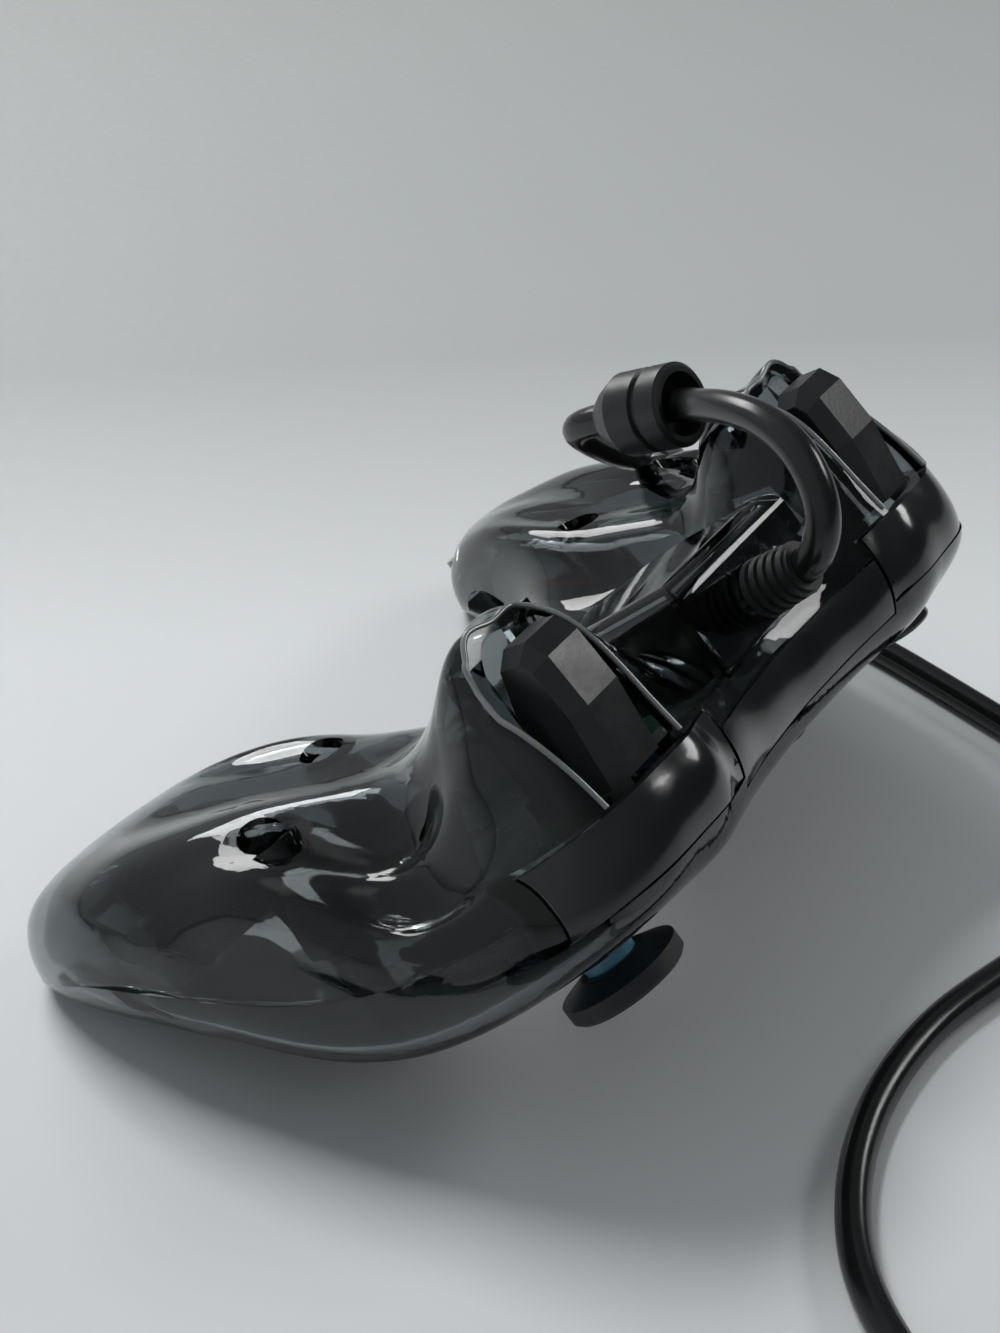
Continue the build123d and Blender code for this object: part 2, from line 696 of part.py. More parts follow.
with BuildPart() as capacitors:
    for px, py in ((-14, 6), (15, 8), (-24, 18), (26, 20)):
        with Locations((px, py, board_top - board_thick)):
            Cylinder(2.0, 4.5, align=(Align.CENTER, Align.CENTER, Align.MAX))
keep("capacitors", capacitors.part)

with BuildPart() as status_lights:
    with Locations((*guide_place, board_top)):
        with PolarLocations(8.6, 4, start_angle=45):
            Box(1.3, 0.9, 0.9, align=(Align.CENTER, Align.CENTER, Align.MIN))
keep("status_lights", status_lights.part)

with BuildPart() as bumper_switches:
    for side in (-1, 1):
        with Locations((side * 33.5, 24.6, board_top)):
            Box(5.5, 4.6, 4.0, align=(Align.CENTER, Align.CENTER, Align.MIN))
        with Locations((side * 33.5, 26.0, board_top + 2.0)):
            Cylinder(1.0, front_at(33.5) - bumper_wall - 26.0 - 1.2, rotation=(-90, 0, 0),
                     align=(Align.CENTER, Align.CENTER, Align.MIN))
keep("bumper_switches", bumper_switches.part)

with BuildPart() as shell_screws:
    for px, py in across(screw_places):
        with Locations((px, py, seam_at(py) - well_above_seam - 0.02)):
            Cylinder(screw_head, screw_head_thick, align=(Align.CENTER, Align.CENTER, Align.MAX))
            Cylinder(screw_shank, screw_length, align=(Align.CENTER, Align.CENTER, Align.MIN))
keep("shell_screws", shell_screws.part)

# Rumble motors with their cradles and turning weights
mx, my, mz = motor_place
lean = radians(rest_tilt)
for hand, side in sides.items():
    with BuildPart() as motor:
        with Locations((side * mx, my, mz)):
            Cylinder(motor_radius, motor_length, rotation=(0, 90, 0))
        with Locations((side * (mx + motor_length / 2 + motor_nose_length / 2), my, mz)):
            Cylinder(motor_nose, motor_nose_length, rotation=(0, 90, 0))
            Cylinder(motor_shaft + fit_gap, motor_length, rotation=(0, 90, 0), mode=Mode.SUBTRACT)
    keep(hand + "_motor", motor.part)
    start = mx + motor_length / 2 + motor_nose_length + gap
    with BuildPart() as weight:
        with BuildSketch(Plane(origin=(side * start, my, mz), x_dir=(0, -side * cos(lean), -side * sin(lean)),
                               z_dir=(side, 0, 0))):
            Circle(weight_radii[hand])
            Rectangle(60, 30, align=(Align.CENTER, Align.MIN), mode=Mode.SUBTRACT)
            Circle(weight_hub)
        extrude(amount=weight_thick)
        with Locations((side * (start + weight_thick / 2 - 2.0), my, mz)):
            Cylinder(motor_shaft, weight_thick + 4.0, rotation=(0, 90, 0))
    keep(hand + "_motor_weight", weight.part)
    with BuildPart() as cradle:
        with Locations((side * mx, my, mz)):
            Cylinder(cradle_radius, cradle_length, rotation=(0, 90, 0))
            Cylinder(motor_radius + fit_gap, 30, rotation=(0, 90, 0), mode=Mode.SUBTRACT)
        with Locations((side * mx, my, mz - cradle_radius + 0.6)):
            Box(cradle_length, 8, 5.0, align=(Align.CENTER, Align.CENTER, Align.MAX))
        add(back_room, mode=Mode.INTERSECT)
    keep(hand + "_motor_cradle", cradle.part)

with BuildPart() as motor_wires:
    for side in (-1, 1):
        for shift in (0.0, -1.7):
            with BuildLine() as route:
                FilletPolyline((side * (45.0 + shift), -39, -31), (side * (44.6 + shift), -30, -28),
                               (side * (45.4 + shift), -12, -21), (side * (44.8 + shift), 2, -18),
                               (side * (44.8 + shift), 2.4, -15.2), radius=1.2)
            with BuildSketch(Plane(origin=route.line @ 0, z_dir=route.line % 0)):
                Circle(wire_radius)
            sweep(path=route.line)
keep("motor_wires", motor_wires.part)

# Dark inner liners of the shoulders
def shoulder_block(side, inset, spare, places):
    """The space under the back of one shoulder, down to the seam, widened by spare."""
    rear = liner_rear - spare
    front = liner_front + spare
    with BuildPart() as block:
        for x in places:
            curve = [(y, skin_height(x, y, inset, "back"))
                     for y in [rear + (front - rear) * i / 6 for i in range(7)]]
            with BuildSketch(Plane.YZ.offset(side * x)):
                with BuildLine():
                    Spline(*curve)
                    Polyline(curve[-1], (front, seam_at(front) - 1.0 + spare),
                             (rear, seam_at(rear) - 1.0 + spare), curve[0])
                make_face()
        loft()
    return block.part


for hand, side in sides.items():
    outside = [liner_inner + (liner_outer - liner_inner) * i / 4 for i in range(5)]
    inside = [liner_inner - 2 + (liner_outer - liner_inner + 4) * i / 4 for i in range(5)]
    with BuildPart() as liner:
        add(shoulder_block(side, wall + liner_clear, 0, outside))
        add(shoulder_block(side, wall + liner_clear + liner_wall, 2.0, inside), mode=Mode.SUBTRACT)
        with Locations([(side * x, y, -30) for x, y in screw_places]):
            Cylinder(well_radius + well_wall + gap, 60, mode=Mode.SUBTRACT)
    keep(hand + "_liner", liner.part)

# Cord gland, clamp and bead
with BuildPart() as cord_gland:
    with BuildSketch(Plane(origin=(0, 0, gland_height), x_dir=(0, 1, 0), z_dir=(1, 0, 0))):
        with Locations((hump_front - wall, 0)):
            Rectangle(gland_end - hump_front + wall, gland_radius, align=(Align.MIN, Align.MIN))
            Rectangle(1.6, gland_flange, align=(Align.MAX, Align.MIN))
        rib_pitch = (gland_end - hump_front - 0.4) / gland_ribs
        for i in range(gland_ribs):
            with Locations((hump_front + 0.4 + i * rib_pitch, 0)):
                Rectangle(0.6 * rib_pitch, gland_rib - 0.12 * i, align=(Align.MIN, Align.MIN))
        with Locations((hump_front - 5, 0)):
            Rectangle(30, cord_diameter / 2 + fit_gap, align=(Align.MIN, Align.MIN), mode=Mode.SUBTRACT)
    revolve(axis=Axis((0, 0, gland_height), (0, 1, 0)))
keep("cord_gland", cord_gland.part)

with BuildPart() as cord_clamp:
    with Locations((0, clamp_rear, board_top - board_thick)):
        Box(clamp_size[0], clamp_size[1], board_top - board_thick - hump_top - wall - 1.5,
            align=(Align.CENTER, Align.MIN, Align.MAX))
    with Locations((0, clamp_rear, gland_height)):
        Cylinder(cord_diameter / 2 + fit_gap, 60, rotation=(90, 0, 0), mode=Mode.SUBTRACT)
keep("cord_clamp", cord_clamp.part)

axis = Vector(*bead_axis).normalized()
bead_start = Vector(*cord_arch_points[-1])
bead_mouth = bead_start + axis * 0.8
bead_end = bead_mouth + axis * bead_length
with BuildPart() as cord_bead:
    with BuildSketch(Plane(origin=bead_mouth, x_dir=axis, z_dir=axis.cross(Vector(0, 0, 1)))) as outline:
        with BuildLine():
            Polyline((0, bead_recess), (0, bead_radius - 0.7), (0.7, bead_radius), (bead_collar, bead_radius),
                     (bead_collar + 0.3, bead_radius - 0.6), (bead_collar + 1.1, bead_radius - 0.6),
                     (bead_collar + 1.4, bead_radius), (bead_length - 5.0, bead_radius),
                     (bead_length - 1.8, bead_radius - 1.8), (bead_length, 3.6), (bead_length, 0),
                     (bead_recess_depth, 0), (bead_recess_depth, bead_recess), close=True)
        make_face()
    revolve(axis=Axis(bead_mouth, axis))
keep("cord_bead", cord_bead.part)


def corner_radii(points):
    """The largest arc that each corner's two runs allow."""
    radii = []
    for before, here, after in zip(points, points[1:], points[2:]):
        into = here - before
        out = after - here
        turn = radians(into.get_angle(out))
        radii.append(0.45 * min(into.length, out.length) / (sin(turn / 2) / cos(turn / 2)))
    return radii


def tube(name, points):
    """A round cord along straight runs joined by tangent arcs."""
    radii = corner_radii(points)
    with BuildPart() as cord:
        with BuildLine() as route:
            FilletPolyline(*points, radius=radii)
        with BuildSketch(Plane(origin=route.line @ 0, z_dir=route.line % 0)):
            Circle(cord_diameter / 2)
        sweep(path=route.line)
    length = route.wires()[0].length
    straight = pi * cord_diameter ** 2 / 4 * length
    print(name, "length", round(length, 1), "volume over section times length",
          round(cord.part.volume / straight, 4), "radii", [round(r, 1) for r in radii])
    return cord.part


# Set the pad down on the table: turn it onto its face, then centre it over the origin
def turned(shape):
    return Rot(180 - rest_tilt, 0, 0) * shape


resting = Compound(children=[turned(shape) for shape in pad_pieces.values()
                             if shape.label not in ("cord_gland", "cord_bead")]).bounding_box()
shift = Vector(-(resting.min.X + resting.max.X) / 2, -(resting.min.Y + resting.max.Y) / 2, -resting.min.Z)
print("shift", shift, "size", resting.size)


def on_table(point):
    """A point of the pad's frame, in the table's."""
    return (Pos(*shift) * Rot(180 - rest_tilt, 0, 0) * Pos(*point)).position


pieces = {name: Pos(*shift) * turned(shape) for name, shape in pad_pieces.items()}

arch_points = [on_table(p) for p in cord_arch_points] + [on_table(bead_mouth + axis * bead_recess_depth)]
pieces["cord_arch"] = tube("cord_arch", arch_points)

coil_lies = Pos(*coil_centre, 0) * Rot(0, 0, coil_turn)
coil_start = Vector(coil_radius, 0, coil_low)
lead = Vector(0, coil_lead, 0)
run_points = [on_table(bead_end), on_table(bead_end + axis * 8.9)]
run_points += [on_table(p) for p in cord_over_points] + [Vector(*p) for p in cord_floor_points]
run_points.append((coil_lies * Pos(*(coil_start + lead))).position)
pieces["cord_run"] = tube("cord_run", run_points)

# Spare cord: inward on the table, one climb, then outward on top, in half turns
layer = cord_diameter + coil_gap
with BuildPart() as cord_coil:
    with BuildLine() as wound:
        Line(coil_start + lead, coil_start)
        here = coil_start
        heading = Vector(0, -1, 0)
        radii = [coil_radius - layer / 2 * k for k in range(2 * coil_turns)]
        for radius in radii:
            side = 1 if heading.Y < 0 else -1
            for quarter in (Vector(-side * radius, -side * radius, 0), Vector(-side * radius, side * radius, 0)):
                TangentArc(here, here + quarter, tangent=heading)
                here = here + quarter
                heading = Vector(-side, 0, 0) if quarter.X * quarter.Y > 0 else Vector(0, side, 0)
        finish = Vector(-here.X, here.Y, here.Z + layer)
        reach = (finish - here).length / 2
        halfway = (here + finish) / 2 + Vector(0, -reach, 0)
        climb = TangentArc(here, halfway, tangent=heading)
        TangentArc(halfway, finish, tangent=climb % 1)
        here = finish
        heading = Vector(0, 1, 0)
        for radius in radii[::-1]:
            side = 1 if heading.Y < 0 else -1
            for quarter in (Vector(-side * radius, -side * radius, 0), Vector(-side * radius, side * radius, 0)):
                TangentArc(here, here + quarter, tangent=heading)
                here = here + quarter
                heading = Vector(-side, 0, 0) if quarter.X * quarter.Y > 0 else Vector(0, side, 0)
        Line(here, here + lead)
    with BuildSketch(Plane(origin=wound.line @ 0, z_dir=wound.line % 0)):
        Circle(cord_diameter / 2)
    sweep(path=wound.line)
pieces["cord_coil"] = coil_lies * cord_coil.part
coil_finish = (coil_lies * Pos(*(here + lead))).position
winding = wound.wires()[0]
print("cord_coil length", round(winding.length, 1), "volume over section times length",
      round(cord_coil.part.volume / (pi * cord_diameter ** 2 / 4 * winding.length), 4))

samples = [winding @ (i / 1400) for i in range(1401)]
apart = int(1400 * 20 / winding.length)
least = min((samples[i] - samples[j]).length for i in range(0, 1401) for j in range(i + apart, 1401))
print("cord_coil least gap to itself", round(least - cord_diameter, 3))

tail_points = [coil_finish] + [Vector(*p) for p in cord_tail_points]
pieces["cord_tail"] = tube("cord_tail", tail_points)

# Tie round the coil, with room between it and the cord
tie_height = coil_low + layer + cord_diameter / 2 + tie_gap + tie_wall
tie_span = layer * (coil_turns - 1) + cord_diameter + 2.2
tie_place = coil_radius - layer * coil_turns / 2 - 0.6
with BuildPart() as cord_tie:
    with BuildSketch(Plane(origin=(0, tie_place, 0), x_dir=(0, 1, 0), z_dir=(1, 0, 0))):
        with Locations((0, 0)):
            RectangleRounded(tie_span + 2 * tie_wall, tie_height, 3.0, align=(Align.CENTER, Align.MIN))
        with Locations((0, tie_wall)):
            RectangleRounded(tie_span, tie_height - 2 * tie_wall, 2.4,
                             align=(Align.CENTER, Align.MIN), mode=Mode.SUBTRACT)
    extrude(amount=tie_width / 2, both=True)
pieces["cord_tie"] = coil_lies * cord_tie.part

# Plug
plug_lies = Pos(*cord_tail_points[-1]) * Rot(0, 0, plug_turn)
with BuildPart() as plug_body:
    with BuildSketch(Plane(origin=(0, 0, 0), x_dir=(1, 0, 0), z_dir=(0, 1, 0))):
        Circle(cord_diameter / 2 + 1.2)
    extrude(amount=9.0)
    with BuildSketch(Plane(origin=(0, 8.0, 0), x_dir=(1, 0, 0), z_dir=(0, 1, 0))):
        RectangleRounded(plug_size[0], plug_size[2], 2.0)
    extrude(amount=plug_size[1] - 8.0)
pieces["plug_body"] = plug_lies * plug_body.part

with BuildPart() as plug_shell:
    with BuildSketch(Plane(origin=(0, plug_size[1], 0), x_dir=(1, 0, 0), z_dir=(0, 1, 0))):
        Rectangle(plug_shell_size[0], plug_shell_size[2])
        Rectangle(plug_shell_size[0] - 2 * plug_wall, plug_shell_size[2] - 2 * plug_wall, mode=Mode.SUBTRACT)
    extrude(amount=plug_shell_size[1])
pieces["plug_shell"] = plug_lies * plug_shell.part

with BuildPart() as plug_tongue:
    with Locations((0, plug_size[1], 1.0)):
        Box(plug_shell_size[0] - 2 * plug_wall - 0.4, plug_shell_size[1] - 0.6, 1.6,
            align=(Align.CENTER, Align.MIN, Align.CENTER))
pieces["plug_tongue"] = plug_lies * plug_tongue.part

for name, piece in pieces.items():
    piece.label = name
    export_step(piece, f"parts/{name}.step")
print(len(pieces), "pieces")
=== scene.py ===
import math

import bpy
from mathutils import Matrix, Vector
from mathutils.bvhtree import BVHTree


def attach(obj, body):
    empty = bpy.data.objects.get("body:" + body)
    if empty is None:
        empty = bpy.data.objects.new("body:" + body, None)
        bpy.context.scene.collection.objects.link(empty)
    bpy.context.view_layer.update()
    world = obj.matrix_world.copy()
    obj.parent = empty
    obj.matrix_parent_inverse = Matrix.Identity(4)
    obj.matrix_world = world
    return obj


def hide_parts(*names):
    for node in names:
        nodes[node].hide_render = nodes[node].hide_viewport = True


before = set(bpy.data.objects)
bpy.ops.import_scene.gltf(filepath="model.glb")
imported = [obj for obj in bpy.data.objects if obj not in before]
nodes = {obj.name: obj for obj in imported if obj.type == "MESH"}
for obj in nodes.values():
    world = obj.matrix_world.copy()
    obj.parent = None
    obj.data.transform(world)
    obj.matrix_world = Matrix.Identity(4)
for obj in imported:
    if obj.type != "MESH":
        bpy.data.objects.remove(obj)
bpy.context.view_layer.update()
scene = bpy.context.scene


# The pad's own frame, as in the part's source
REST_TILT = math.radians(42.5)
SHIFT = Vector((0.0, -25.4571, 22.4153))
CORD_RADIUS = 0.0026
BEAD_RECESS = 4.2
BEAD_LENGTH = 16.0


def on_table(p):
    """A point of the pad's frame, in millimetres, in the table's frame, in metres."""
    x, y, z = p
    c, s = math.cos(REST_TILT), math.sin(REST_TILT)
    return (Vector((x, -(y * c + z * s), y * s - z * c)) + SHIFT) / 1000


def mm(p):
    return Vector(p) / 1000


# The camera, at the photograph's angle
camera = bpy.data.objects.new("camera", bpy.data.cameras.new("camera"))
scene.collection.objects.link(camera)
camera_place = Vector((-0.2384, -0.1555, 0.2371))
right = Vector((0.5374, -0.8425, -0.0377))
down = Vector((-0.5001, -0.2824, -0.8187))
forward = Vector((0.6791, 0.4588, -0.5730))
turn = Matrix((right, -down, -forward)).transposed()
camera.matrix_world = Matrix.Translation(camera_place) @ turn.to_4x4()
camera.data.sensor_width = 36.0
camera.data.lens = 58.09
camera.data.clip_start = 0.01
camera.data.clip_end = 20.0
scene.camera = camera


# The cords' routes, on the part's own points
arch_points = [
    (0, 38, -21.5), (0, 46.8, -21.5), (0, 52.5, -21.5), (1.5, 57.5, -27), (4.5, 57.5, -35),
    (9.5, 51.8, -41.3), (15.5, 42.5, -45.4), (21.5, 33.3, -47.4), (26.8, 28.2, -47.8)]
axis_pad = Vector((0.069, -0.946, -0.291)).normalized()
mouth_pad = Vector(arch_points[-1]) + axis_pad * 0.8
arch_route = [on_table(p) for p in arch_points]
arch_route.append(on_table(mouth_pad + axis_pad * BEAD_RECESS))
bead_end = on_table(mouth_pad + axis_pad * BEAD_LENGTH)

run_route = [bead_end, on_table(mouth_pad + axis_pad * 24.9)]
run_route += [on_table(p) for p in [
    (35, 0.5, -50), (43, -2.5, -44.9), (51.5, -8, -42.9), (61, -14, -42.9), (71, -19.5, -43.2),
    (80.5, -25, -38)]]
run_route += [mm(p) for p in [
    (85.5, 16, 21), (86.3, 7, 8.5), (85, -7, 2.65), (80.7, -26.1, 2.65), (73.6, -45.5, 2.65),
    (65.8, -65.9, 2.65), (54.8, -80.5, 2.65), (38.8, -88, 2.65), (21.8, -86.5, 2.65),
    (7.6, -81.1, 2.65), (-8.2, -76, 2.65), (-25.4, -75.1, 2.65), (-41.2, -78.2, 2.65),
    (-55.2, -85, 2.65), (-64.7, -94.5, 2.65), (-71.5, -106.5, 2.65), (-79.5, -117, 2.9),
    (-89.2, -123.54, 3.75)]]

# The spare cord: half turns inward on the table, one climb, half turns outward on top
COIL_CENTRE, COIL_TURN = Vector((-124.5, -96.0, 0.0)), math.radians(-60)
COIL_RADIUS, LAYER, COIL_LOW, TURNS, LEAD = 41.5, 5.8, 3.75, 5, 7.8
HALF_TURN_POINTS = 8


def coil_point(x, y, z):
    """A point of the coil's own frame, in millimetres, in the table's frame, in metres."""
    return (Matrix.Rotation(COIL_TURN, 3, "Z") @ Vector((x, y, z)) + COIL_CENTRE) / 1000


def half_turn(centre, radius, first_angle, low, high):
    """The control points of one clockwise half turn. The curve itself lies on the radius."""
    points = []
    for j in range(HALF_TURN_POINTS):
        t = (j + 0.5) / HALF_TURN_POINTS
        a = first_angle - math.pi * t
        r = radius / math.cos(math.pi / (2 * HALF_TURN_POINTS))
        points.append(coil_point(centre + r * math.cos(a), r * math.sin(a), low + (high - low) * t))
    return points


run_route.append(coil_point(COIL_RADIUS, LEAD, COIL_LOW))
coil_route = []
at = COIL_RADIUS
side = 1
radii = [COIL_RADIUS - LAYER / 2 * k for k in range(2 * TURNS)]
for r in radii:
    start = 0 if side > 0 else math.pi
    coil_route += half_turn(at - side * r, r, start, COIL_LOW, COIL_LOW)
    at -= 2 * side * r
    side = -side
climb = at
coil_route += half_turn(0, climb, 0, COIL_LOW, COIL_LOW + LAYER)
at = -climb
side = -1
for r in radii[::-1]:
    start = 0 if side > 0 else math.pi
    coil_route += half_turn(at - side * r, r, start, COIL_LOW + LAYER, COIL_LOW + LAYER)
    at -= 2 * side * r
    side = -side
tail_route = [coil_point(at, LEAD, COIL_LOW + LAYER)]
tail_route += [mm(p) for p in [
    (-133.7, -53.4, 9.55), (-128.4, -43.8, 6.5), (-128.7, -32.8, 4.3), (-133.8, -24.8, 4.3)]]


def cord_curve(name, points, radius):
    data = bpy.data.curves.new(name, "CURVE")
    data.dimensions = "3D"
    data.resolution_u = 8
    data.bevel_depth = radius
    data.bevel_resolution = 5
    data.use_fill_caps = True
    spline = data.splines.new("NURBS")
    spline.points.add(len(points) - 1)
    for knot, p in zip(spline.points, points):
        knot.co = (*p, 1.0)
    spline.order_u = 3
    spline.use_endpoint_u = True
    spline.use_smooth = True
    obj = bpy.data.objects.new(name, data)
    scene.collection.objects.link(obj)
    return obj


arch = cord_curve("arch_cord", arch_route, CORD_RADIUS)
lead = cord_curve("lead_cord", run_route + coil_route + tail_route, CORD_RADIUS)


# Materials
def new_material(name):
    m = bpy.data.materials.new(name)
    m.use_nodes = True
    tree = m.node_tree
    tree.nodes.clear()
    out = tree.nodes.new("ShaderNodeOutputMaterial")
    shader = tree.nodes.new("ShaderNodeBsdfPrincipled")
    tree.links.new(shader.outputs["BSDF"], out.inputs["Surface"])
    return m, tree, shader


def coords(tree, scale=(1, 1, 1)):
    place = tree.nodes.new("ShaderNodeTexCoord")
    mapping = tree.nodes.new("ShaderNodeMapping")
    mapping.inputs["Scale"].default_value = scale
    tree.links.new(place.outputs["Object"], mapping.inputs["Vector"])
    return mapping.outputs["Vector"]


def noise(tree, where, scale, detail=4.0, rough=0.55):
    n = tree.nodes.new("ShaderNodeTexNoise")
    n.inputs["Scale"].default_value = scale
    n.inputs["Detail"].default_value = detail
    n.inputs["Roughness"].default_value = rough
    tree.links.new(where, n.inputs["Vector"])
    return n.outputs["Fac"]


def ramp(tree, value, stops):
    r = tree.nodes.new("ShaderNodeValToRGB")
    items = r.color_ramp.elements
    while len(items) < len(stops):
        items.new(0.5)
    for item, (place, colour) in zip(items, stops):
        item.position = place
        item.color = (*colour, 1.0)
    tree.links.new(value, r.inputs["Fac"])
    return r.outputs["Color"]


def spread(tree, value, low, high, from_low=0.3, from_high=0.7):
    m = tree.nodes.new("ShaderNodeMapRange")
    m.inputs["From Min"].default_value = from_low
    m.inputs["From Max"].default_value = from_high
    m.inputs["To Min"].default_value = low
    m.inputs["To Max"].default_value = high
    tree.links.new(value, m.inputs["Value"])
    return m.outputs["Result"]


def bump(tree, height, shader, strength, distance):
    b = tree.nodes.new("ShaderNodeBump")
    b.inputs["Strength"].default_value = strength
    b.inputs["Distance"].default_value = distance
    tree.links.new(height, b.inputs["Height"])
    tree.links.new(b.outputs["Normal"], shader.inputs["Normal"])


def multiplied(tree, first, second):
    m = tree.nodes.new("ShaderNodeMix")
    m.data_type = "RGBA"
    m.blend_type = "MULTIPLY"
    m.inputs["Factor"].default_value = 1.0
    tree.links.new(first, m.inputs["A"])
    tree.links.new(second, m.inputs["B"])
    return m.outputs["Result"]


def moulded(name, dark, light, rough, grain=900.0, depth=0.00006, coat=0.0, specular=0.5,
            patch=60.0):
    """Moulded plastic or rubber: patchy colour, handled gloss and a fine grain."""
    m, tree, shader = new_material(name)
    where = coords(tree)
    patches = noise(tree, where, patch, 5.0, 0.6)
    tree.links.new(ramp(tree, patches, [(0.3, dark), (0.7, light)]), shader.inputs["Base Color"])
    smears = noise(tree, where, patch * 2.3, 6.0, 0.65)
    tree.links.new(spread(tree, smears, *rough), shader.inputs["Roughness"])
    grains = noise(tree, where, grain, 3.0, 0.5)
    bump(tree, grains, shader, 0.35, depth)
    shader.inputs["Specular IOR Level"].default_value = specular
    shader.inputs["Coat Weight"].default_value = coat
    shader.inputs["Coat Roughness"].default_value = 0.06
    m.diffuse_color = (*light, 1.0)
    return m


def clear_smoke(name, dark, light, rough, middle_shade=None):
    """Clear smoked plastic with faint flow lines and handling marks.

    Where the last argument is given, the tint is darker in the middle, a painted shade: it says
    how far from the middle the darker tint ends, where the full tint begins, and the darker tint's
    share.
    """
    m, tree, shader = new_material(name)
    where = coords(tree)
    patches = noise(tree, where, 25.0, 3.0, 0.5)
    tint = ramp(tree, patches, [(0.3, dark), (0.7, light)])
    # Painted shade: the shell's tint darkens towards its middle
    if middle_shade is not None:
        dark_to, full_from, share = middle_shade
        split = tree.nodes.new("ShaderNodeSeparateXYZ")
        tree.links.new(where, split.inputs["Vector"])
        side = tree.nodes.new("ShaderNodeMath")
        side.operation = "ABSOLUTE"
        tree.links.new(split.outputs["X"], side.inputs[0])
        outward = spread(tree, side.outputs["Value"], 0.0, 1.0, dark_to, full_from)
        painted_shade_fade = ramp(tree, outward, [(0.0, (share, share, share)), (1.0, (1.0, 1.0, 1.0))])
        tint = multiplied(tree, tint, painted_shade_fade)
    tree.links.new(tint, shader.inputs["Base Color"])
    smears = noise(tree, where, 140.0, 6.0, 0.7)
    tree.links.new(spread(tree, smears, *rough, 0.35, 0.75), shader.inputs["Roughness"])
    flow = noise(tree, coords(tree, (1.0, 2.5, 1.0)), 22.0, 2.0, 0.4)
    bump(tree, flow, shader, 0.12, 0.0006)
    shader.inputs["Transmission Weight"].default_value = 1.0
    shader.inputs["IOR"].default_value = 1.45
    shader.inputs["Specular IOR Level"].default_value = 0.36
    m.diffuse_color = (*light, 0.5)
    return m


SMOKE_DARK, SMOKE_LIGHT, SMOKE_ROUGH = (0.205, 0.232, 0.238), (0.26, 0.287, 0.293), (0.015, 0.06)
smoke = clear_smoke("smoke_clear", SMOKE_DARK, SMOKE_LIGHT, SMOKE_ROUGH)
# The front shell's tint is darker in its middle: painted shade of the dark inside
smoke_face = clear_smoke(
    "smoke_face", SMOKE_DARK, SMOKE_LIGHT, SMOKE_ROUGH, middle_shade=(0.050, 0.064, 0.12))
light_clear = clear_smoke("light_clear", (0.75, 0.78, 0.76), (0.82, 0.86, 0.84), (0.08, 0.18))
black_gloss = moulded(
    "black_gloss", (0.006, 0.0065, 0.007), (0.011, 0.012, 0.013), (0.10, 0.24),
    grain=700.0, depth=0.00002, coat=0.35)
black_satin = moulded(
    "black_satin", (0.006, 0.0065, 0.007), (0.012, 0.013, 0.014), (0.26, 0.42),
    grain=1400.0, depth=0.00005)
cap_rubber = moulded(
    "cap_rubber", (0.008, 0.0085, 0.009), (0.014, 0.015, 0.016), (0.45, 0.62),
    grain=1800.0, depth=0.00008)
cord_rubber = moulded(
    "cord_rubber", (0.0045, 0.0047, 0.005), (0.008, 0.0083, 0.0088), (0.17, 0.27),
    grain=1500.0, depth=0.00002, patch=90.0)
bead_rubber = moulded(
    "bead_rubber", (0.008, 0.0085, 0.009), (0.016, 0.0165, 0.017), (0.30, 0.46),
    grain=1500.0, depth=0.00005, patch=120.0)
liner_black = moulded(
    "liner_black", (0.002, 0.0025, 0.003), (0.005, 0.006, 0.007), (0.35, 0.55),
    grain=500.0, depth=0.00004, specular=0.25)
rim_clear = moulded(
    "rim_clear", (0.16, 0.175, 0.18), (0.24, 0.255, 0.26), (0.05, 0.12), depth=0.00002, coat=0.8)
rim_clear.node_tree.nodes["Principled BSDF"].inputs["Transmission Weight"].default_value = 0.35
blue_plastic = moulded(
    "blue_plastic", (0.055, 0.20, 0.30), (0.085, 0.27, 0.38), (0.22, 0.36), depth=0.00003)
grey_plastic = moulded(
    "grey_plastic", (0.055, 0.058, 0.058), (0.085, 0.088, 0.088), (0.38, 0.52))
pad_rubber = moulded(
    "pad_rubber", (0.10, 0.105, 0.105), (0.15, 0.155, 0.15), (0.50, 0.65), grain=1200.0)
button_gloss = moulded(
    "button_gloss", (0.010, 0.0105, 0.011), (0.018, 0.019, 0.020), (0.12, 0.22),
    grain=800.0, depth=0.00002, coat=0.4)
brown_can = moulded("brown_can", (0.05, 0.022, 0.014), (0.085, 0.040, 0.024), (0.28, 0.4))
wire_red = moulded(
    "wire_red", (0.30, 0.018, 0.012), (0.42, 0.035, 0.020), (0.30, 0.42),
    grain=1200.0, depth=0.00003)
tie_black = moulded(
    "tie_black", (0.012, 0.0125, 0.013), (0.022, 0.023, 0.024), (0.5, 0.65),
    grain=2200.0, depth=0.00010)


def brushed(name, dark, light, rough):
    """Metal with fine streaks and stains."""
    m, tree, shader = new_material(name)
    streaks = noise(tree, coords(tree, (1.0, 14.0, 1.0)), 260.0, 5.0, 0.6)
    tree.links.new(ramp(tree, streaks, [(0.3, dark), (0.7, light)]), shader.inputs["Base Color"])
    stains = noise(tree, coords(tree), 90.0, 4.0, 0.6)
    tree.links.new(spread(tree, stains, *rough), shader.inputs["Roughness"])
    bump(tree, streaks, shader, 0.25, 0.00003)
    shader.inputs["Metallic"].default_value = 1.0
    m.diffuse_color = (*light, 1.0)
    return m


steel = brushed("steel", (0.42, 0.43, 0.44), (0.60, 0.61, 0.62), (0.24, 0.42))
dull_steel = brushed("dull_steel", (0.16, 0.165, 0.17), (0.26, 0.265, 0.27), (0.30, 0.48))


